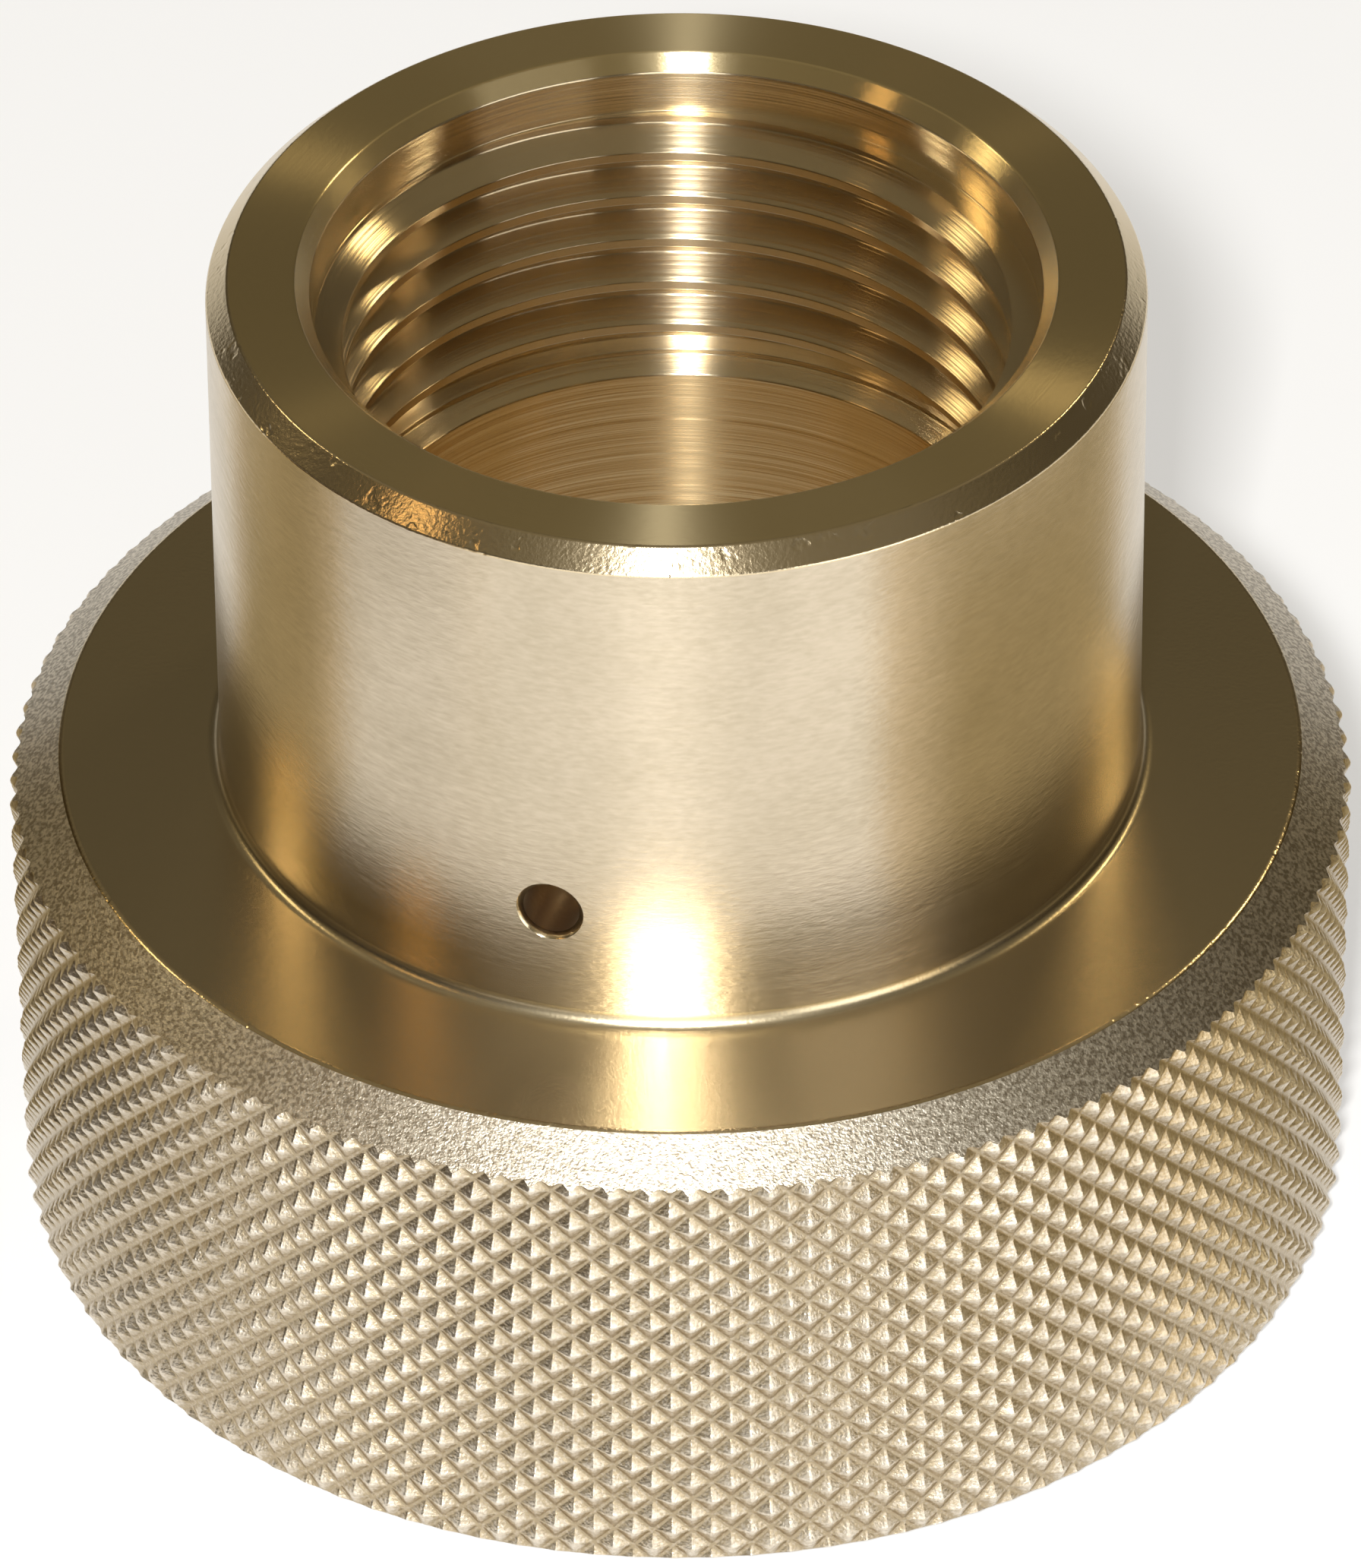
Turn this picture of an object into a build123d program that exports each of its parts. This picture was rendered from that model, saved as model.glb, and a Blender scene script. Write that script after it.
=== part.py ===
from build123d import *
from math import ceil, cos, pi, radians, sin, tan
import os

# Knurled thumb nut, turned in one piece from brass bar.
# It stands on its knurled rim, with the origin at the centre of its base and +Z up its axis.
# All sizes are in millimetres and degrees.

# Rim
rim_diameter = 38.0
rim_height = 14.8
rim_top_chamfer_width = 1.5
rim_top_chamfer_drop = 1.2
rim_base_chamfer_width = 0.8
rim_base_chamfer_rise = 0.6

# Knurl: two crossing families of vee grooves leave rows of small pyramids
knurl_teeth = 66
knurl_helix_angle = 45.0
knurl_depth = 0.45

# Hub
hub_diameter = 26.0
hub_height = 16.2
hub_edge_chamfer = 0.6
root_fillet = 0.4

# Bore, measured down from the top of the hub: a counterbore, the thread at its tap drill size,
# a relief for the tap to run into, and a plain passage down to the base
thread_diameter = 20.0
thread_pitch = 1.5
mouth_chamfer = 0.45
counterbore_clearance = 0.2
counterbore_depth = 1.75
thread_end_depth = 9.0
relief_end_depth = 10.4
relief_clearance = 0.5
base_bore_chamfer = 0.5

# Vent, drilled through one side of the hub just below the relief
vent_diameter = 1.6
vent_depth = 12.5

# Places that follow from the sizes above
total_height = rim_height + hub_height
rim_radius = rim_diameter / 2
valley_radius = rim_radius - knurl_depth
hub_radius = hub_diameter / 2
bore_radius = (thread_diameter - thread_pitch) / 2
counterbore_radius = (thread_diameter + counterbore_clearance) / 2
relief_radius = (thread_diameter + relief_clearance) / 2

# The knurl is a lattice of peaks and valleys: alternate rows are set half a tooth round, and the
# lattice runs one row past the base so that its ends are cut clean
half_tooth = 0.5
row_height = pi * rim_radius / knurl_teeth / tan(radians(knurl_helix_angle))
rows_below_base = 1


def turned_section():
    """Half section of the nut as it leaves the lathe, before the rim is knurled."""
    with BuildSketch(Plane.XZ) as section:
        with BuildLine():
            rim = Polyline(
                (bore_radius + base_bore_chamfer, 0),
                (rim_radius - rim_base_chamfer_width, 0),
                (rim_radius, rim_base_chamfer_rise),
                (rim_radius, rim_height - rim_top_chamfer_drop),
                (rim_radius - rim_top_chamfer_width, rim_height),
                (hub_radius + root_fillet, rim_height),
            )
            root = RadiusArc(rim @ 1, (hub_radius, rim_height + root_fillet), root_fillet)
            Polyline(
                root @ 1,
                (hub_radius, total_height - hub_edge_chamfer),
                (hub_radius - hub_edge_chamfer, total_height),
                (counterbore_radius + mouth_chamfer, total_height),
                (counterbore_radius, total_height - mouth_chamfer),
                (counterbore_radius, total_height - counterbore_depth),
                (bore_radius, total_height - counterbore_depth),
                (bore_radius, total_height - thread_end_depth),
                (relief_radius, total_height - thread_end_depth),
                (relief_radius, total_height - relief_end_depth),
                (bore_radius, total_height - relief_end_depth),
                (bore_radius, base_bore_chamfer),
                (bore_radius + base_bore_chamfer, 0),
            )
        make_face()
    return section.sketch


def vent_drill():
    """Drill that enters the front of the hub and stops on the axis of the bore."""
    hub_front = Plane((0, -hub_radius, total_height - vent_depth), z_dir=(0, 1, 0))
    return hub_front * Cylinder(vent_diameter / 2, hub_diameter)


def knurl_point(radius, tooth, row):
    """Point of the knurl lattice, so many teeth round the rim and so many rows up it."""
    angle = 2 * pi * tooth / knurl_teeth
    height = (row - rows_below_base) * row_height
    return Vector(radius * cos(angle), radius * sin(angle), height)


def first_tooth(row):
    """Place of the first peak of a row, in teeth."""
    return half_tooth * (row % 2)


def facet(*corners):
    return Face(Wire.make_polygon(corners, close=True))


def knurl_column(rows):
    """Facets of every pyramid in one tooth's width of the rim, from the lowest row up."""
    facets = []
    for row in range(rows):
        tooth = first_tooth(row)
        peak = knurl_point(rim_radius, tooth, row)
        left = knurl_point(valley_radius, tooth - half_tooth, row)
        right = knurl_point(valley_radius, tooth + half_tooth, row)
        above = knurl_point(valley_radius, tooth, row + 1)
        next_peak = knurl_point(rim_radius, tooth + half_tooth, row + 1)
        next_right = knurl_point(valley_radius, tooth + 1, row + 1)
        facets.append(facet(peak, above, left))
        facets.append(facet(peak, right, above))
        facets.append(facet(next_peak, above, right))
        facets.append(facet(next_peak, right, next_right))
    return facets


def knurl_outline(row):
    """Zigzag of peaks and valleys round the rim at one row."""
    corners = []
    for tooth in range(knurl_teeth):
        peak = first_tooth(row) + tooth
        corners.append(knurl_point(rim_radius, peak, row))
        corners.append(knurl_point(valley_radius, peak + half_tooth, row))
    return Wire.make_polygon(corners, close=True)


def knurl_envelope():
    """Knurled barrel that holds the rim, with a plain sleeve above it that clears the hub."""
    rows = ceil(rim_height / row_height) + 2 * rows_below_base
    barrel_top = Plane.XY.offset((rows - rows_below_base) * row_height)
    sleeve_radius = (hub_radius + valley_radius) / 2
    sleeve_edge = Edge.make_circle(sleeve_radius, barrel_top)
    sleeve_wall = Face.extrude(sleeve_edge, (0, 0, total_height))
    sleeve_lid = Face(Wire(sleeve_edge.moved(Pos(0, 0, total_height))))
    barrel_base = Face(knurl_outline(0))
    barrel_shoulder = Face(knurl_outline(rows), [Wire(sleeve_edge)])
    column = knurl_column(rows)
    facets = []
    for tooth in range(knurl_teeth):
        turn = Rotation(0, 0, 360 * tooth / knurl_teeth)
        facets.extend(face.moved(turn) for face in column)
    return Solid(Shell(facets + [barrel_base, barrel_shoulder, sleeve_wall, sleeve_lid]))


turned_nut = revolve(turned_section(), Axis.Z) - vent_drill()
nut = turned_nut & knurl_envelope()
nut.label = "thumb_nut"

os.makedirs("parts", exist_ok=True)
export_step(nut, "parts/thumb_nut.step", write_pcurves=False)
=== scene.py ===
import random
from collections import namedtuple
from math import atan2, ceil, cos, hypot, inf, pi, radians, sin, sqrt, tan

import bpy
from mathutils import Matrix, Vector


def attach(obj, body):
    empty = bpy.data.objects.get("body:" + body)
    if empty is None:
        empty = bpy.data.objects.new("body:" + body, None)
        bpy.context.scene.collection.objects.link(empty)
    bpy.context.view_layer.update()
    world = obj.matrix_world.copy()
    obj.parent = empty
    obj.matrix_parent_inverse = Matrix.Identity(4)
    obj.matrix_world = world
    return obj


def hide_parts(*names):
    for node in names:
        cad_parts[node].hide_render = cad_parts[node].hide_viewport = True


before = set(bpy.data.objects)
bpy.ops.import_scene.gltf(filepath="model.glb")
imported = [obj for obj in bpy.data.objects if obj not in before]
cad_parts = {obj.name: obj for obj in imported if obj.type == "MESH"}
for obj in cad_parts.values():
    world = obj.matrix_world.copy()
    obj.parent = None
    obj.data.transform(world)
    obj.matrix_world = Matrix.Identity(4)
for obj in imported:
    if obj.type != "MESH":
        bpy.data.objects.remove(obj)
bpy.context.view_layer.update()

# ---------------------------------------------------------------------------------------------
# Hub. The plain upper barrel of the nut, turned from brass bar in the lathe and left satin from
# the tool, with a small bevel at its top edge and a small fillet where it meets the rim. It is
# one piece with the rim, so all the sections below add their faces to one closed skin.
# ---------------------------------------------------------------------------------------------
MM = 0.001
MICRON = 0.000001
hub_radius = 13.0
hub_top = 31.0
hub_bevel = 0.6
rim_top = 14.8
root_fillet = 0.4
edge_break = 0.04
outside_steps = 432

skin_points = []
skin_faces = []
skin_facing = []
skin_finish = []
finishes = []

Ring = namedtuple("Ring", "corners angles facing")


def lay_point(x, y, z):
    skin_points.append((x * MM, y * MM, z * MM))
    return len(skin_points) - 1


def lay_face(corners, facing, finish):
    """One face of the skin, turned so that its front is on the side its corners face."""
    first, second, third = (Vector(skin_points[c]) for c in corners[:3])
    front = (second - first).cross(third - first)
    if len(corners) > 3:
        front += (third - first).cross(Vector(skin_points[corners[3]]) - first)
    if front.dot(sum(facing, Vector())) < 0:
        corners, facing = corners[::-1], facing[::-1]
    skin_faces.append(tuple(corners))
    skin_facing.extend(facing)
    skin_finish.append(finishes.index(finish))


def face_ring(ring, out, up):
    """The same ring, where the metal faces outward and upward by these two shares."""
    length = hypot(out, up)
    facing = [Vector((out * cos(a), out * sin(a), up)) / length for a in ring.angles]
    return Ring(ring.corners, ring.angles, facing)


def turn_ring(radius, height, out, up, steps):
    """Circle of corners round the axis. out and up say which way the metal faces there."""
    angles = [2 * pi * step / steps for step in range(steps)]
    corners = [lay_point(radius * cos(a), radius * sin(a), height) for a in angles]
    return face_ring(Ring(corners, angles, None), out, up)


def lay_band(lower, upper, finish, skipped=()):
    """Faces between two rings with the same number of corners."""
    count = len(lower.corners)
    for step in range(count):
        if step in skipped:
            continue
        after = (step + 1) % count
        around = ((lower, step), (lower, after), (upper, after), (upper, step))
        corners = [ring.corners[place] for ring, place in around]
        facing = [ring.facing[place] for ring, place in around]
        lay_face(corners, facing, finish)


def lay_stitch(one, other, finish):
    """Triangles between two rings whose corners don't line up."""
    rings = (one, other)
    at = [0, 0]

    def corner(side, step):
        ring = rings[side]
        count = len(ring.corners)
        return ring.corners[step % count], ring.facing[step % count]

    def middle_angle(side):
        """Where the next edge of one ring has its middle."""
        ring = rings[side]
        count = len(ring.corners)
        if at[side] >= count:
            return inf
        here, there = ring.angles[at[side]], ring.angles[(at[side] + 1) % count]
        return (here + there + 2 * pi * ((at[side] + 1) // count)) / 2

    while at[0] < len(one.corners) or at[1] < len(other.corners):
        side = 0 if middle_angle(0) <= middle_angle(1) else 1
        three = [corner(side, at[side]), corner(side, at[side] + 1), corner(1 - side, at[1 - side])]
        lay_face([c for c, f in three], [f for c, f in three], finish)
        at[side] += 1


def lay_profile(profile, steps, finish):
    """Turned surface through (radius, height, out, up) stations. Returns its first and last ring."""
    rings = [turn_ring(*station, steps) for station in profile]
    for lower, upper in zip(rings, rings[1:]):
        lay_band(lower, upper, finish)
    return rings[0], rings[-1]


pale_brass = (0.72, 0.61, 0.44, 1)
quarter_turn = 0.25


def start_finish(name, colour, roughness, drag=0.0):
    """Brass with one tool finish. drag is how far the tool's lines stretch the shine across them."""
    finish = bpy.data.materials.new(name)
    finish.use_nodes = True
    nodes = finish.node_tree.nodes
    shader = nodes["Principled BSDF"]
    shader.inputs["Base Color"].default_value = colour
    shader.inputs["Metallic"].default_value = 1
    shader.inputs["Roughness"].default_value = roughness
    if drag:
        shader.inputs["Anisotropic"].default_value = drag
        shader.inputs["Anisotropic Rotation"].default_value = quarter_turn
        lathe_line = nodes.new("ShaderNodeTangent")
        lathe_line.direction_type = "RADIAL"
        lathe_line.axis = "Z"
        finish.node_tree.links.new(lathe_line.outputs["Tangent"], shader.inputs["Tangent"])
    finishes.append(finish)
    return finish


def join(finish, output, socket):
    finish.node_tree.links.new(output, socket)


def add_node(finish, kind, **settings):
    node = finish.node_tree.nodes.new(kind)
    for name, value in settings.items():
        if name in node.inputs:
            node.inputs[name].default_value = value
        else:
            setattr(node, name, value)
    return node


def work_out(finish, operation, first, second=None):
    """One step of arithmetic on sockets or numbers."""
    node = add_node(finish, "ShaderNodeMath", operation=operation)
    for socket, value in zip(node.inputs, (first, second)):
        if isinstance(value, (int, float)):
            socket.default_value = value
        elif value is not None:
            join(finish, value, socket)
    return node.outputs[0]


Place = namedtuple("Place", "spot x y height radius")


def place_on_nut(finish):
    """Sockets with a place on the nut, in metres, and its height and distance from the axis."""
    spot = add_node(finish, "ShaderNodeTexCoord").outputs["Object"]
    parts = add_node(finish, "ShaderNodeSeparateXYZ")
    join(finish, spot, parts.inputs[0])
    x, y, height = parts.outputs
    x_squared = work_out(finish, "MULTIPLY", x, x)
    y_squared = work_out(finish, "MULTIPLY", y, y)
    radius = work_out(finish, "SQRT", work_out(finish, "ADD", x_squared, y_squared))
    return Place(spot, x, y, height, radius)


def lathe_lines(finish, along, at, spacing, wander, detail=3):
    """Noise drawn out into rings round the axis, as a lathe tool leaves. along is the socket that
    counts the rings, spacing is their size in mm, and wander is how soon they break up."""
    drawn_out = add_node(finish, "ShaderNodeCombineXYZ")
    join(finish, work_out(finish, "MULTIPLY", along, 1 / (spacing * MM)), drawn_out.inputs[0])
    join(finish, work_out(finish, "MULTIPLY", at.x, wander), drawn_out.inputs[1])
    join(finish, work_out(finish, "MULTIPLY", at.y, wander), drawn_out.inputs[2])
    noise = add_node(finish, "ShaderNodeTexNoise", Scale=1.0, Detail=detail, Roughness=0.6)
    join(finish, drawn_out.outputs[0], noise.inputs["Vector"])
    return noise.outputs["Fac"]


def grain(finish, at, size, detail=2):
    """Noise with specks of one size in mm, the same every way."""
    noise = add_node(finish, "ShaderNodeTexNoise", Scale=1 / (size * MM), Detail=detail, Roughness=0.5)
    join(finish, at.spot, noise.inputs["Vector"])
    return noise.outputs["Fac"]


def spread(finish, value, low, high, to_low, to_high):
    """The value's range from low to high, stretched to another range and held at its ends."""
    node = add_node(finish, "ShaderNodeMapRange")
    join(finish, value, node.inputs["Value"])
    for name, number in (("From Min", low), ("From Max", high), ("To Min", to_low), ("To Max", to_high)):
        node.inputs[name].default_value = number
    return node.outputs[0]


def raise_bumps(finish, heights):
    """Stacks (height socket, depth in microns) pairs into the shader's normal."""
    shader = finish.node_tree.nodes["Principled BSDF"]
    normal = None
    for height, depth in heights:
        bump = add_node(finish, "ShaderNodeBump", Strength=1.0, Distance=depth * MICRON)
        join(finish, height, bump.inputs["Height"])
        if normal:
            join(finish, normal, bump.inputs["Normal"])
        normal = bump.outputs[0]
    join(finish, normal, shader.inputs["Normal"])


def tint(finish, value, low, dark, high, light):
    """Colour that runs from dark, where the value is low, to light, where it is high."""
    ramp = add_node(finish, "ShaderNodeValToRGB")
    for stop, place, colour in zip(ramp.color_ramp.elements, (low, high), (dark, light)):
        stop.position = place
        stop.color = colour
    join(finish, value, ramp.inputs[0])
    join(finish, ramp.outputs[0], finish.node_tree.nodes["Principled BSDF"].inputs["Base Color"])


satin_wall = start_finish("brass_satin_wall", pale_brass, roughness=0.23, drag=0.88)
at_wall = place_on_nut(satin_wall)
wall_lines = lathe_lines(satin_wall, at_wall.height, at_wall, spacing=0.12, wander=60)
wall_scuffs = lathe_lines(satin_wall, at_wall.height, at_wall, spacing=0.13, wander=2400)
wall_clouds = grain(satin_wall, at_wall, size=4)
raise_bumps(satin_wall, [(wall_lines, 0.8), (wall_scuffs, 8)])
half_clouds = work_out(satin_wall, "MULTIPLY", wall_clouds, 0.5)
half_scuffs = work_out(satin_wall, "MULTIPLY", wall_scuffs, 0.5)
wall_tone = work_out(satin_wall, "ADD", half_clouds, half_scuffs)
tint(satin_wall, wall_tone, 0.36, (0.575, 0.49, 0.355, 1), 0.64, (0.70, 0.60, 0.455, 1))
wall_roughness = spread(satin_wall, wall_lines, low=0.3, high=0.7, to_low=0.21, to_high=0.25)
join(satin_wall, wall_roughness, satin_wall.node_tree.nodes["Principled BSDF"].inputs["Roughness"])

polished_edge = start_finish("brass_polished_edge", (0.74, 0.61, 0.40, 1), roughness=0.20, drag=0.6)
at_edge = place_on_nut(polished_edge)
edge_grain = grain(polished_edge, at_edge, size=0.13, detail=3)
edge_knocks = grain(polished_edge, at_edge, size=0.6)
edge_dents = spread(polished_edge, edge_knocks, low=0.61, high=0.69, to_low=1, to_high=0)
raise_bumps(polished_edge, [(edge_grain, 9), (edge_dents, 8)])

# the vent comes through the wall between these two heights, in the steps left out here
vent_height = 18.5
vent_margin = 1.3
vent_steps = 7
vent_step = 3 * outside_steps // 4
vent_skipped = range(vent_step - vent_steps, vent_step + vent_steps)

wall_root = turn_ring(hub_radius, rim_top + root_fillet, 1, 0, outside_steps)
wall_low = turn_ring(hub_radius, vent_height - vent_margin, 1, 0, outside_steps)
wall_high = turn_ring(hub_radius, vent_height + vent_margin, 1, 0, outside_steps)
wall_top = turn_ring(hub_radius, hub_top - hub_bevel - edge_break, 1, 0, outside_steps)
lay_band(wall_root, wall_low, satin_wall)
lay_band(wall_low, wall_high, satin_wall, vent_skipped)
lay_band(wall_high, wall_top, satin_wall)
bevel_low, bevel_high = lay_profile([
    (hub_radius - edge_break, hub_top - hub_bevel + edge_break, 1, 1),
    (hub_radius - hub_bevel + edge_break, hub_top - edge_break, 1, 1),
], outside_steps, polished_edge)
lay_band(wall_top, bevel_low, polished_edge)

# ---------------------------------------------------------------------------------------------
# Top face. Faced square across the end of the hub, so its tool lines are circles. The bore's
# mouth is opened with a fine bevel that has the same finish.
# ---------------------------------------------------------------------------------------------
counterbore_radius = 10.1
mouth_bevel = 0.45
bore_steps = 216

faced_end = start_finish("brass_faced_end", (0.93, 0.76, 0.44, 1), roughness=0.22, drag=1.0)
at_end = place_on_nut(faced_end)
end_lines = lathe_lines(faced_end, at_end.radius, at_end, spacing=0.1, wander=60)
end_scuffs = lathe_lines(faced_end, at_end.radius, at_end, spacing=0.1, wander=2500, detail=4)
raise_bumps(faced_end, [(end_lines, 3), (end_scuffs, 3)])

end_outer = turn_ring(hub_radius - hub_bevel - edge_break, hub_top, 0, 1, outside_steps)
end_inner = turn_ring(counterbore_radius + mouth_bevel + edge_break, hub_top, 0, 1, bore_steps)
lay_band(bevel_high, end_outer, polished_edge)
lay_stitch(end_inner, end_outer, faced_end)

# ---------------------------------------------------------------------------------------------
# Counterbore. A short plain step at the mouth, bored a little wider than the thread so that the
# male part finds its way in. Its floor is where the thread starts.
# ---------------------------------------------------------------------------------------------
counterbore_depth = 1.75
thread_top = hub_top - counterbore_depth

bored_wall = start_finish("brass_bored_wall", (0.78, 0.65, 0.43, 1), roughness=0.20, drag=1.0)
at_bore = place_on_nut(bored_wall)
bored_lines = lathe_lines(bored_wall, at_bore.height, at_bore, spacing=0.15, wander=60)
raise_bumps(bored_wall, [(bored_lines, 30)])

step_floor, mouth_low = lay_profile([
    (counterbore_radius - edge_break, thread_top, 0, 1),
    (counterbore_radius, thread_top + edge_break, -1, 0),
    (counterbore_radius, hub_top - mouth_bevel - edge_break, -1, 0),
], bore_steps, bored_wall)
mouth_foot, mouth_edge = lay_profile([
    (counterbore_radius + edge_break, hub_top - mouth_bevel + edge_break, -1, 1),
    (counterbore_radius + mouth_bevel - edge_break, hub_top - edge_break, -1, 1),
], bore_steps, faced_end)
lay_band(mouth_low, mouth_foot, bored_wall)
lay_band(mouth_edge, end_inner, faced_end)

# ---------------------------------------------------------------------------------------------
# Thread. A right-hand 20 mm x 1.5 mm thread cut with a single point tool: narrow flat crests
# at the tap drill size and vee grooves between them. It runs out into a relief groove.
# ---------------------------------------------------------------------------------------------
crest_radius = 9.25
groove_radius = 10.05
pitch = 1.5
flank_angle = pi / 6
crest_half = 0.15
crest_round = 0.035
groove_round = 0.06
first_crest_height = 28.27
first_crest_angle = radians(106.17)
relief_top = 22.0
spare_turns = 2

flank_out, flank_up = -sin(flank_angle), cos(flank_angle)
crest_end = crest_half + crest_round * sin(flank_angle)
crest_end_radius = crest_radius + crest_round * cos(flank_angle)
groove_start = crest_half + (groove_radius - crest_radius) * tan(flank_angle)
flank_end = groove_start - groove_round * sin(flank_angle)
flank_end_radius = groove_radius - groove_round * cos(flank_angle)

# one pitch of the section, as (rise, radius, out, up): from a crest into the groove, and back out
thread_form = [
    (crest_half - crest_round, crest_radius, -1, 0),
    (crest_end, crest_end_radius, flank_out, flank_up),
    (flank_end, flank_end_radius, flank_out, flank_up),
    (groove_start + groove_round, groove_radius, -1, 0),
]
thread_form += [(pitch - rise, radius, out, -up) for rise, radius, out, up in reversed(thread_form)]


def thread_at(angle, height):
    """Radius and facing of the thread at one place."""
    rise = (height - first_crest_height - pitch * (angle - first_crest_angle) / (2 * pi)) % pitch
    first, last = thread_form[0], thread_form[-1]
    before = (last[0] - pitch,) + last[1:]
    for after in thread_form + [(first[0] + pitch,) + first[1:]]:
        if rise <= after[0]:
            share = (rise - before[0]) / (after[0] - before[0])
            radius, out, up = (b + (a - b) * share for b, a in zip(before[1:], after[1:]))
            return radius, Vector((out * cos(angle), out * sin(angle), up)).normalized()
        before = after


def thread_end(height):
    """Ring of corners where the thread meets a flat shoulder."""
    angles = [2 * pi * step / bore_steps for step in range(bore_steps)]
    corners = []
    for angle in angles:
        radius, facing = thread_at(angle, height)
        corners.append(lay_point(radius * cos(angle), radius * sin(angle), height))
    return Ring(corners, angles, None)


threaded_wall = start_finish("brass_threaded_wall", (0.68, 0.56, 0.37, 1), roughness=0.20, drag=1.0)
at_thread = place_on_nut(threaded_wall)
thread_lines = lathe_lines(threaded_wall, at_thread.radius, at_thread, spacing=0.12, wander=60)
raise_bumps(threaded_wall, [(thread_lines, 25)])

thread_low = thread_end(relief_top)
thread_high = thread_end(thread_top)
form_count = len(thread_form)
first_turn = (relief_top - first_crest_height) // pitch - spare_turns
thread_turns = ceil((thread_top - relief_top) / pitch) + 2 * spare_turns
thread_grid = []
for step in range(bore_steps + 1):
    angle = 2 * pi * step / bore_steps
    column = []
    for row in range(thread_turns * form_count):
        rise = thread_form[row % form_count][0] + pitch * (row // form_count + first_turn)
        height = first_crest_height + rise + pitch * (angle - first_crest_angle) / (2 * pi)
        if height <= relief_top:
            column.append((thread_low.corners[step % bore_steps], thread_at(angle, relief_top)[1]))
        elif height >= thread_top:
            column.append((thread_high.corners[step % bore_steps], thread_at(angle, thread_top)[1]))
        elif step == bore_steps:
            # a full turn on, the helix has climbed by one thread and meets the first column
            column.append(thread_grid[0][row + form_count])
        else:
            radius, facing = thread_at(angle, height)
            column.append((lay_point(radius * cos(angle), radius * sin(angle), height), facing))
    thread_grid.append(column)
for here, there in zip(thread_grid, thread_grid[1:]):
    for row in range(len(here) - 1):
        around = {}
        for corner, facing in (here[row], there[row], there[row + 1], here[row + 1]):
            around.setdefault(corner, facing)
        if len(around) > 2:
            lay_face(list(around), list(around.values()), threaded_wall)

lay_band(face_ring(thread_high, 0, 1), step_floor, bored_wall)

# ---------------------------------------------------------------------------------------------
# Passage. Below the thread a relief groove gives the tool room to stop, and under its shoulder a
# plain bore runs down to the base. Boring left rings on its wall.
# ---------------------------------------------------------------------------------------------
relief_radius = 10.25
relief_bottom = 20.6
relief_taper_rise = 0.7
relief_step_radius = 9.82
relief_step_height = 21.05
relief_step = 0.08
taper_facing = (-1, 1.2)
shoulder_facing = (-0.56, 0.83)
passage_radius = 9.25
base_bore_bevel = 0.5
vent_margin_inside = 1.1
vent_steps_inside = 4
vent_step_inside = 3 * bore_steps // 4
vent_skipped_inside = range(vent_step_inside - vent_steps_inside, vent_step_inside + vent_steps_inside)

bored_passage = start_finish("brass_bored_passage", (0.80, 0.62, 0.35, 1), roughness=0.22, drag=1.0)
at_passage = place_on_nut(bored_passage)
passage_lines = lathe_lines(bored_passage, at_passage.height, at_passage, spacing=0.3, wander=40)
raise_bumps(bored_passage, [(passage_lines, 40)])

relief_taper = relief_bottom + relief_taper_rise
relief_step_foot = relief_step_height - relief_step
relief_roof, relief_floor = lay_profile([
    (relief_radius - edge_break, relief_top, 0, -1),
    (relief_radius, relief_top - edge_break, -1, 0),
    (relief_radius, relief_taper, -1, 0),
    (relief_radius - edge_break, relief_taper - edge_break, *taper_facing),
    (relief_step_radius + edge_break, relief_step_height + edge_break, *taper_facing),
    (relief_step_radius, relief_step_height, -1, 0),
    (relief_step_radius, relief_step_foot, -1, 0),
    (relief_step_radius - edge_break, relief_step_foot - edge_break, *shoulder_facing),
    (passage_radius + edge_break, relief_bottom + edge_break, *shoulder_facing),
], bore_steps, bored_wall)
lay_band(face_ring(thread_low, 0, -1), relief_roof, bored_wall)
passage_top = turn_ring(passage_radius, relief_bottom - edge_break, -1, 0, bore_steps)
passage_high = turn_ring(passage_radius, vent_height + vent_margin_inside, -1, 0, bore_steps)
passage_low = turn_ring(passage_radius, vent_height - vent_margin_inside, -1, 0, bore_steps)
passage_foot = turn_ring(passage_radius, base_bore_bevel + edge_break, -1, 0, bore_steps)
lay_band(relief_floor, passage_top, bored_wall)
lay_band(passage_top, passage_high, bored_passage)
lay_band(passage_high, passage_low, bored_passage, vent_skipped_inside)
lay_band(passage_low, passage_foot, bored_passage)
foot_low, foot_edge = lay_profile([
    (passage_radius + edge_break, base_bore_bevel - edge_break, -1, -1),
    (passage_radius + base_bore_bevel - edge_break, edge_break, -1, -1),
], bore_steps, bored_wall)
lay_band(passage_foot, foot_low, bored_wall)

# ---------------------------------------------------------------------------------------------
# Vent. A small hole drilled square through the hub wall below the thread, with its outer edge
# lightly countersunk. Nothing is fitted in it.
# ---------------------------------------------------------------------------------------------
vent_radius = 0.8
vent_mouth = 0.96
vent_sides = 48


def vent_ring(radius, surface_radius, sink, out, along):
    """Circle round the vent, on a wall of the given radius, sunk below it along the drill."""
    angles = [2 * pi * side / vent_sides for side in range(vent_sides)]
    corners, facing = [], []
    for a in angles:
        x, rise = radius * cos(a), radius * sin(a)
        y = -sqrt(surface_radius ** 2 - x ** 2) + sink
        corners.append(lay_point(x, y, vent_height + rise))
        facing.append(Vector((out * cos(a), along, out * sin(a))).normalized())
    return Ring(corners, angles, facing)


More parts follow.
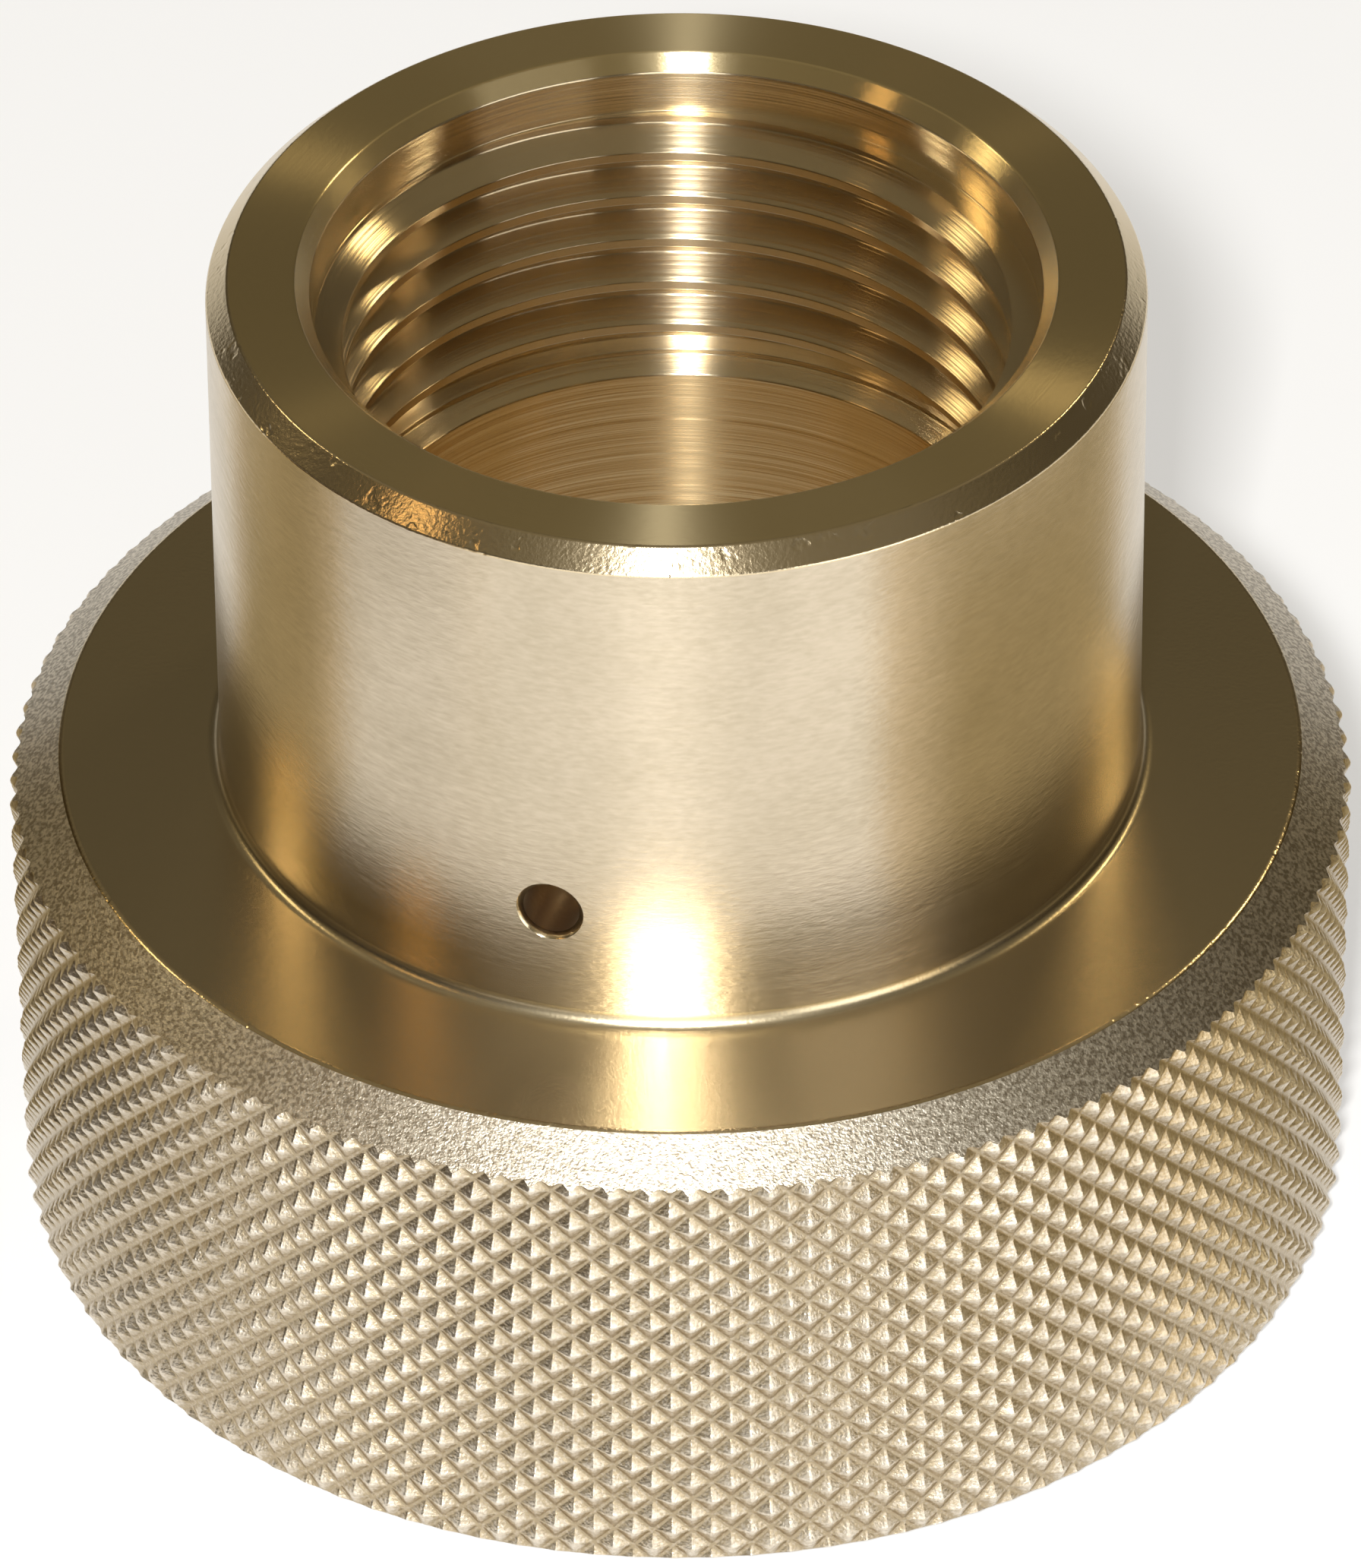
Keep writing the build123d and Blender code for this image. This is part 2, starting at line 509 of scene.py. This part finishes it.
def wall_patch(low, high, middle, steps):
    """Edge of the gap left in a wall, as a ring of corners round the vent."""
    places = []
    for ring in (low, high):
        for step in range(middle - steps, middle + steps + 1):
            x, y, z = (v / MM for v in skin_points[ring.corners[step]])
            angle = atan2(z - vent_height, x) % (2 * pi)
            places.append((angle, ring.corners[step], ring.facing[step]))
    places.sort(key=lambda place: place[0])
    angles, corners, facing = zip(*places)
    return Ring(corners, angles, facing)


def on_wall(ring, out):
    """The same ring, facing as the wall does."""
    facing = []
    for corner in ring.corners:
        x, y, z = skin_points[corner]
        facing.append(Vector((x, y, 0)).normalized() * out)
    return Ring(ring.corners, ring.angles, facing)


# inside the vent the brass is painted darker and browner than elsewhere, a painted shade in the hole; its
# roughness is the drilled finish
shaded_drilled_wall = start_finish("brass_drilled_wall", (0.54, 0.42, 0.28, 1), roughness=0.34)
at_drilling = place_on_nut(shaded_drilled_wall)
raise_bumps(shaded_drilled_wall, [(grain(shaded_drilled_wall, at_drilling, size=0.2), 10)])

mouth_outer = vent_ring(vent_mouth, hub_radius, 0, -1, -1)
mouth_inner = vent_ring(vent_radius, hub_radius, vent_mouth - vent_radius, -1, 0)
drill_end = vent_ring(vent_radius, passage_radius, 0, -1, 0)
outer_gap = wall_patch(wall_low, wall_high, vent_step, vent_steps)
inner_gap = wall_patch(passage_low, passage_high, vent_step_inside, vent_steps_inside)
lay_stitch(outer_gap, on_wall(mouth_outer, 1), satin_wall)
lay_band(mouth_outer, mouth_inner, polished_edge)
lay_band(mouth_inner, drill_end, shaded_drilled_wall)
lay_stitch(inner_gap, on_wall(drill_end, -1), bored_passage)

# ---------------------------------------------------------------------------------------------
# Rim. The wide lower part of the nut, faced bright on top, with a frosted bevel down to the
# knurl and a flat base that the nut stands on.
# ---------------------------------------------------------------------------------------------
flange_radius = 17.5
rim_radius = 19.0
bevel_drop = 1.2
base_radius = 18.2
base_bevel_rise = 0.6
fillet_steps = 6
flange_break = 0.07
bevel_slope = (rim_radius - flange_radius) / bevel_drop
base_slope = (rim_radius - base_radius) / base_bevel_rise

faced_flange = start_finish("brass_faced_flange", (0.60, 0.505, 0.335, 1), roughness=0.27, drag=0.25)
at_flange = place_on_nut(faced_flange)
flange_lines = lathe_lines(faced_flange, at_flange.radius, at_flange, spacing=0.12, wander=60)
flange_grain = grain(faced_flange, at_flange, size=0.11, detail=3)
raise_bumps(faced_flange, [(flange_lines, 0.8), (flange_grain, 4)])

sparkling_bevel = start_finish("brass_sparkling_bevel", pale_brass, roughness=0.38)
at_bevel = place_on_nut(sparkling_bevel)
bevel_grit = grain(sparkling_bevel, at_bevel, size=0.07, detail=3)
bevel_specks = grain(sparkling_bevel, at_bevel, size=0.12, detail=3)
raise_bumps(sparkling_bevel, [(bevel_grit, 16)])
tint(sparkling_bevel, bevel_specks, 0.4, (0.37, 0.315, 0.235, 1), 0.6, (0.77, 0.70, 0.58, 1))

below = wall_root
for part in range(1, fillet_steps + 1):
    turn = pi / 2 * part / fillet_steps
    radius = hub_radius + root_fillet * (1 - cos(turn))
    height = rim_top + root_fillet * (1 - sin(turn))
    ring = turn_ring(radius, height, cos(turn), sin(turn), outside_steps)
    lay_band(below, ring, faced_flange)
    below = ring
flange_edge = turn_ring(flange_radius - flange_break, rim_top, 0, 1, outside_steps)
lay_band(below, flange_edge, faced_flange)
bevel_top_height = rim_top - flange_break / bevel_slope
bevel_top = turn_ring(flange_radius + flange_break, bevel_top_height, 1, bevel_slope, outside_steps)
lay_band(flange_edge, bevel_top, polished_edge)

base_outer = turn_ring(base_radius - edge_break, 0, 0, -1, outside_steps)
base_inner = turn_ring(passage_radius + base_bore_bevel + edge_break, 0, 0, -1, bore_steps)
lay_band(foot_edge, base_inner, bored_wall)
lay_stitch(base_inner, base_outer, faced_end)
base_bevel = turn_ring(base_radius + edge_break, edge_break / base_slope, 1, -base_slope, outside_steps)
lay_band(base_outer, base_bevel, sparkling_bevel)

# ---------------------------------------------------------------------------------------------
# Knurl. Two hardened wheels rolled crossing vee grooves into the rim and left staggered rows of
# small pyramids, with narrow rounded ridges, and tips a little worn and no two quite alike.
# ---------------------------------------------------------------------------------------------
teeth = 108
row_pitch = 1.148
knurl_rise = 0.287
knurl_slope = 0.68
tip_half = 0.10
ridge_half = 0.08
groove_half = 0.08
groove_dip = 0.02
tip_dome = 0.02
tip_wander = 0.025
tip_wear = 0.03
rows_below = 2
rows_above = ceil(rim_top / (row_pitch / 2)) + 1
face_drop = (0.5 - tip_half - groove_half) * knurl_slope
groove_drop = face_drop + groove_dip

random.seed(38)
knurl_points = []
knurl_corner_of = {}
knurl_faces = []


def knurl_point(key, across, along, drop):
    """Corner of the knurl. across and along count grooves of the two families."""
    if key not in knurl_corner_of:
        knurl_corner_of[key] = len(knurl_points)
        angle = pi * (across + along) / teeth
        height = (across - along) / 2 * row_pitch + knurl_rise
        radius = rim_radius - drop
        knurl_points.append(Vector((radius * cos(angle), radius * sin(angle), height)))
    return knurl_corner_of[key]


def same_place(i, j):
    """A groove crossing's number is the same after one full turn."""
    turns = i // teeth
    return i - turns * teeth, j - turns * teeth


def groove_key(i, j, q, end):
    """Name of a corner on a groove's floor, the same from the pyramids on both its sides."""
    if q == 0:
        return ("along", end) + same_place(i, j)
    if q == 1:
        return ("across", end) + same_place(i + 1, j)
    if q == 2:
        return ("along", 1 - end) + same_place(i, j + 1)
    return ("across", 1 - end) + same_place(i, j)


# turns a place within a pyramid, counted from 0 to 1 between its grooves, by each quarter
quarter_turns = [
    lambda s, t: (s, t),
    lambda s, t: (1 - t, s),
    lambda s, t: (1 - s, 1 - t),
    lambda s, t: (t, 1 - s),
]


def pyramid(i, j):
    """One pyramid between four grooves, with rounded ridges, tip and groove floors."""
    lean_i, lean_j = random.uniform(-tip_wander, tip_wander), random.uniform(-tip_wander, tip_wander)
    wear = random.uniform(0, tip_wear)
    low, high = groove_half, 1 - groove_half
    tip_low, tip_high = 0.5 - tip_half, 0.5 + tip_half
    foot, tip, edge = [], [], []
    for q, turned in enumerate(quarter_turns):
        for end, s in enumerate((low + ridge_half, high - ridge_half)):
            across, along = turned(s, low)
            foot.append(knurl_point(("foot", i, j, q, end), i + across, j + along, face_drop))
        for end, s in enumerate((tip_low + ridge_half, tip_high - ridge_half)):
            across, along = turned(s, tip_low)
            key = ("tip", i, j, q, end)
            tip.append(knurl_point(key, i + across + lean_i, j + along + lean_j, wear + tip_dome))
        for end, s in enumerate((low, high)):
            across, along = turned(s, 0)
            edge.append(knurl_point(groove_key(i, j, q, end), i + across, j + along, groove_drop))
    crossings = []
    for across, along in ((0, 0), (1, 0), (1, 1), (0, 1)):
        key = ("crossing",) + same_place(i + across, j + along)
        crossings.append(knurl_point(key, i + across, j + along, groove_drop))
    top = knurl_point(("top", i, j), i + 0.5 + lean_i, j + 0.5 + lean_j, wear)
    for q in range(len(quarter_turns)):
        n = 2 * q
        before = (n - 1) % len(foot)
        knurl_faces.append((foot[n], foot[n + 1], tip[n + 1], tip[n]))
        knurl_faces.append((foot[before], foot[n], tip[n], tip[before]))
        knurl_faces.append((edge[n], edge[n + 1], foot[n + 1], foot[n]))
        knurl_faces.append((crossings[q], edge[n], foot[n], foot[before], edge[before]))
        knurl_faces.append((tip[n], tip[n + 1], top))
        knurl_faces.append((tip[before], tip[n], top))


for row in range(-rows_below, rows_above):
    for tooth in range(teeth):
        pyramid(tooth + row, tooth)

# shading follows the broad flanks, and the narrow ridges between them turn smoothly
knurl_facing = [Vector() for point in knurl_points]
for corners in knurl_faces:
    first, second, third = (knurl_points[c] for c in corners[:3])
    front = (second - first).cross(third - first)
    centre = sum((knurl_points[c] for c in corners), Vector())
    if front.dot(Vector((centre.x, centre.y, 0))) < 0:
        front = -front
    for c in corners:
        knurl_facing[c] += front * front.length
knurl_facing = [facing.normalized() for facing in knurl_facing]


def above_bevel(point):
    """How far a point stands out past the rim's top bevel."""
    return hypot(point.x, point.y) - flange_radius - (rim_top - point.z) * bevel_slope


def below_bevel(point):
    """How far a point stands out past the bevel at the base."""
    return hypot(point.x, point.y) - base_radius - point.z * base_slope


def trim_knurl(faces, past):
    """Cuts the knurl off where it stands out past a bevel. Returns what is left and the cut's corners."""
    cuts = {}
    kept = []
    for corners in faces:
        trimmed = []
        for here, there in zip(corners, corners[1:] + corners[:1]):
            out_here, out_there = past(knurl_points[here]), past(knurl_points[there])
            if out_here <= 0:
                trimmed.append(here)
            if (out_here <= 0) != (out_there <= 0):
                key = (min(here, there), max(here, there))
                if key not in cuts:
                    share = out_here / (out_here - out_there)
                    cuts[key] = len(knurl_points)
                    knurl_points.append(knurl_points[here].lerp(knurl_points[there], share))
                    knurl_facing.append(knurl_facing[here].lerp(knurl_facing[there], share).normalized())
                trimmed.append(cuts[key])
        if len(trimmed) > 2:
            kept.append(tuple(trimmed))
    return kept, list(cuts.values())


knurl_faces, top_cut = trim_knurl(knurl_faces, above_bevel)
knurl_faces, base_cut = trim_knurl(knurl_faces, below_bevel)

rolled_knurl = start_finish("brass_rolled_knurl", pale_brass, roughness=0.31)
at_knurl = place_on_nut(rolled_knurl)
# the colour is painted darker down in the grooves and lighter on the tips, a painted shade, with random
# specks on top
groove_floor = (rim_radius - face_drop) * MM
knurl_height = spread(rolled_knurl, at_knurl.radius, groove_floor, rim_radius * MM, to_low=0, to_high=1)
knurl_specks = grain(rolled_knurl, at_knurl, size=0.11, detail=3)
knurl_specks = spread(rolled_knurl, knurl_specks, low=0.35, high=0.65, to_low=-0.3, to_high=0.3)
knurl_shade_and_specks = work_out(rolled_knurl, "ADD", knurl_height, knurl_specks)
knurl_grain = grain(rolled_knurl, at_knurl, size=0.09, detail=3)
raise_bumps(rolled_knurl, [(knurl_grain, 20)])
tint(rolled_knurl, knurl_shade_and_specks, 0.0, (0.45, 0.365, 0.24, 1), 0.85, (0.74, 0.665, 0.55, 1))

used = sorted({corner for corners in knurl_faces for corner in corners})
skin_corner = {corner: lay_point(*knurl_points[corner]) for corner in used}
for corners in knurl_faces:
    facing = [knurl_facing[c] for c in corners]
    lay_face([skin_corner[c] for c in corners], facing, rolled_knurl)


def cut_ring(cut, out, up):
    """The trimmed edge of the knurl as a ring round the rim."""
    places = [(atan2(knurl_points[c].y, knurl_points[c].x) % (2 * pi), c) for c in cut]
    places.sort()
    corners = [skin_corner[c] for angle, c in places]
    angles = [angle for angle, c in places]
    return face_ring(Ring(corners, angles, None), out, up)


lay_stitch(cut_ring(top_cut, 1, bevel_slope), bevel_top, sparkling_bevel)
lay_stitch(cut_ring(base_cut, 1, -base_slope), base_bevel, sparkling_bevel)

# ---------------------------------------------------------------------------------------------
# The nut itself. All of the above is the skin of one solid piece of brass, with nothing fitted
# to it and nothing on it that moves.
# ---------------------------------------------------------------------------------------------
skin = bpy.data.meshes.new("thumb_nut_skin")
skin.from_pydata(skin_points, [], skin_faces)
skin.polygons.foreach_set("material_index", skin_finish)
for finish in finishes:
    skin.materials.append(finish)
skin.shade_smooth()
skin.normals_split_custom_set(skin_facing)
nut = bpy.data.objects.new("turned_thumb_nut", skin)
bpy.context.collection.objects.link(nut)
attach(nut, "root")
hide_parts("thumb_nut")

# ---------------------------------------------------------------------------------------------
# Table. A wide round sheet of plain white card that the nut stands on, with its edge turned up.
# It is lit from within by half, so that it stays white behind the nut and still takes its shadow.
# Under the nut its glow is turned down, a painted shade.
# ---------------------------------------------------------------------------------------------
table_radius = 3.0
table_edge = 0.3
table_steps = 96
table_glow = 0.5
shaded_glow_under_nut = 0.7 * table_glow
glow_starts = 0.8 * base_radius * MM

card = bpy.data.materials.new("white_card")
card.use_nodes = True
card_nodes = card.node_tree.nodes
card_nodes["Principled BSDF"].inputs["Base Color"].default_value = (0.9, 0.9, 0.9, 1)
card_nodes["Principled BSDF"].inputs["Roughness"].default_value = 0.9
seen = add_node(card, "ShaderNodeLightPath").outputs
seen_in_metal = work_out(card, "MAXIMUM", seen["Is Glossy Ray"], seen["Is Transmission Ray"])
seen_by = work_out(card, "MAXIMUM", seen["Is Camera Ray"], seen_in_metal)
glow = add_node(card, "ShaderNodeEmission", Color=(1, 1, 1, 1), Strength=1.0)
# the glow is turned down under the nut, a painted shade there
glow_here = spread(card, place_on_nut(card).radius, glow_starts, base_radius * MM, shaded_glow_under_nut, table_glow)
card_mix = add_node(card, "ShaderNodeMixShader")
join(card, work_out(card, "MULTIPLY", seen_by, glow_here), card_mix.inputs[0])
join(card, card_nodes["Principled BSDF"].outputs[0], card_mix.inputs[1])
join(card, glow.outputs[0], card_mix.inputs[2])
join(card, card_mix.outputs[0], card_nodes["Material Output"].inputs["Surface"])

table_points = []
for height in (0, table_edge):
    for step in range(table_steps):
        angle = 2 * pi * step / table_steps
        table_points.append((table_radius * cos(angle), table_radius * sin(angle), height))
table_faces = [tuple(range(table_steps))]
for step in range(table_steps):
    after = (step + 1) % table_steps
    table_faces.append((step, after, after + table_steps, step + table_steps))
table_mesh = bpy.data.meshes.new("table_card")
table_mesh.from_pydata(table_points, [], table_faces)
table_mesh.materials.append(card)
table = bpy.data.objects.new("table_card", table_mesh)
bpy.context.collection.objects.link(table)

# ---------------------------------------------------------------------------------------------
# Camera. It looks down at the nut from about arm's length, with a long lens.
# ---------------------------------------------------------------------------------------------
camera_turn = radians(16.17)
camera_distance = 314.5
camera_height = 262.0
camera_tilt = 0.6696
camera_roll = -0.0081
camera_lens = 325.0

straight_ahead = Vector((0, cos(camera_tilt), -sin(camera_tilt)))
level = Vector((1, 0, 0))
upright = level.cross(straight_ahead)
camera_right = level * cos(camera_roll) + upright * sin(camera_roll)
camera_up = upright * cos(camera_roll) - level * sin(camera_roll)
camera_data = bpy.data.cameras.new("camera")
camera_data.lens = camera_lens
camera_data.clip_start = 0.01
camera_data.clip_end = 20
camera = bpy.data.objects.new("camera", camera_data)
bpy.context.collection.objects.link(camera)
aim = Matrix((camera_right, camera_up, -straight_ahead)).transposed().to_4x4()
stand = Matrix.Translation(Vector((0, -camera_distance, camera_height)) * MM)
camera.matrix_world = Matrix.Rotation(camera_turn, 4, "Z") @ stand @ aim
bpy.context.scene.camera = camera

# ---------------------------------------------------------------------------------------------
# Lamps. A small soft lamp just above the camera, two wide ones low in front and at the right,
# and three weak warm ones further round that put the golden bands on the hub and the flange.
# ---------------------------------------------------------------------------------------------
lamp_distance = 390.0
above_camera = 13.0
lamp_aim = 15.0
plain_light = (1, 1, 1)
warm_light = (1.0, 0.80, 0.45)
orange_light = (1.0, 0.62, 0.25)


def round_the_nut(turn, distance, height):
    """Place round the nut. turn is in degrees from the camera, to the right."""
    around = radians(turn) + camera_turn
    return Vector((distance * sin(around), -distance * cos(around), height)) * MM


def hang_lamp(name, colour, size, watts, turn, distance, height):
    """Square soft lamp aimed at the nut."""
    lamp_data = bpy.data.lights.new(name, "AREA")
    lamp_data.size = size * MM
    lamp_data.energy = watts
    lamp_data.color = colour
    lamp = bpy.data.objects.new(name, lamp_data)
    bpy.context.collection.objects.link(lamp)
    lamp.location = round_the_nut(turn, distance, height)
    aim_at = Vector((0, 0, lamp_aim * MM)) - lamp.location
    lamp.rotation_mode = "QUATERNION"
    lamp.rotation_quaternion = aim_at.to_track_quat("-Z", "Y")
    lamp.visible_camera = False


hang_lamp("lamp_by_camera", plain_light, size=28, watts=2.3, turn=-4,
          distance=camera_distance, height=camera_height + above_camera)
hang_lamp("lamp_at_right", plain_light, size=240, watts=0.45, turn=42, distance=lamp_distance, height=75)
hang_lamp("lamp_low_front", plain_light, size=180, watts=0.25, turn=-2, distance=lamp_distance, height=110)
hang_lamp("lamp_high_left", warm_light, size=80, watts=0.13, turn=-115, distance=lamp_distance, height=330)
hang_lamp("lamp_low_left", orange_light, size=60, watts=0.04, turn=-68, distance=lamp_distance, height=320)
hang_lamp("lamp_high_right", warm_light, size=60, watts=0.20, turn=140, distance=lamp_distance, height=400)

# ---------------------------------------------------------------------------------------------
# Gels and room. Clear sheets stand round the nut, coloured in the middle and fading out to both
# sides. Only the nut's shine sees them, so they put painted dark and brown reflections, in bands,
# on the hub and the knurl. The room is plain, and a little lighter overhead.
# ---------------------------------------------------------------------------------------------
dim_room = (0.07, 0.058, 0.037, 1)
light_ceiling = (0.19, 0.162, 0.105, 1)
half_width = 0.5


def colour_gel(name, *stops):
    """Clear sheet. A stop is a distance from its middle, in its widths, with the colour there."""
    gel = bpy.data.materials.new(name)
    gel.use_nodes = True
    along_gel = add_node(gel, "ShaderNodeSeparateXYZ")
    join(gel, add_node(gel, "ShaderNodeTexCoord").outputs["Generated"], along_gel.inputs[0])
    from_middle = work_out(gel, "SUBTRACT", along_gel.outputs[0], half_width)
    from_middle = work_out(gel, "ABSOLUTE", from_middle)
    gel_colour = add_node(gel, "ShaderNodeValToRGB")
    gel_colour.color_ramp.elements[0].color = stops[0][1]
    for place, colour in stops:
        gel_colour.color_ramp.elements.new(place).color = colour
    sheet = add_node(gel, "ShaderNodeBsdfTransparent")
    join(gel, from_middle, gel_colour.inputs[0])
    join(gel, gel_colour.outputs[0], sheet.inputs["Color"])
    join(gel, sheet.outputs[0], gel.node_tree.nodes["Material Output"].inputs["Surface"])
    return gel


def stand_flag(name, gel, turn, distance, width, height):
    """Upright gel beside the nut. The camera doesn't see it, it casts no shadow, and it shows only as a
    painted reflection in the nut.
    """
    flag_mesh = bpy.data.meshes.new(name)
    half, top = width / 2 * MM, height * MM
    flag_corners = [(-half, 0, 0), (half, 0, 0), (half, 0, top), (-half, 0, top)]
    flag_mesh.from_pydata(flag_corners, [], [(0, 1, 2, 3)])
    flag_mesh.materials.append(gel)
    flag = bpy.data.objects.new(name, flag_mesh)
    bpy.context.collection.objects.link(flag)
    flag.location = round_the_nut(turn, distance, 0)
    flag.rotation_euler = (0, 0, radians(turn) + camera_turn)
    flag.visible_camera = False
    flag.visible_diffuse = False
    flag.visible_shadow = False


gel_edge = (half_width, (1, 1, 1, 1))
# brown bands for the hub's sides and a dark patch for the knurl at left front: painted reflections
brown_reflection_gel = colour_gel("brown_reflection_gel", (0.24, (0.46, 0.38, 0.22, 1)), (0.41, (0.78, 0.68, 0.51, 1)), gel_edge)
dark_reflection_gel = colour_gel("dark_reflection_gel", (0.28, (0.10, 0.07, 0.04, 1)), (0.42, (0.62, 0.50, 0.32, 1)), gel_edge)
stand_flag("flag_left", brown_reflection_gel, turn=-92, distance=25, width=22, height=24)
stand_flag("flag_right", brown_reflection_gel, turn=78, distance=24, width=42, height=24)
stand_flag("flag_front_left", dark_reflection_gel, turn=-70, distance=64, width=80, height=34)

room = bpy.data.worlds.new("room")
room.use_nodes = True
which_way = add_node(room, "ShaderNodeSeparateXYZ")
ceiling = add_node(room, "ShaderNodeValToRGB")
for stop, height, colour in zip(ceiling.color_ramp.elements, (0.47, 0.8), (dim_room, light_ceiling)):
    stop.position = height
    stop.color = colour
join(room, add_node(room, "ShaderNodeTexCoord").outputs["Generated"], which_way.inputs[0])
join(room, which_way.outputs[2], ceiling.inputs[0])
join(room, ceiling.outputs[0], room.node_tree.nodes["Background"].inputs["Color"])
room.node_tree.nodes["Background"].inputs["Strength"].default_value = 1.0
bpy.context.scene.world = room
bpy.context.scene.view_settings.view_transform = "Standard"
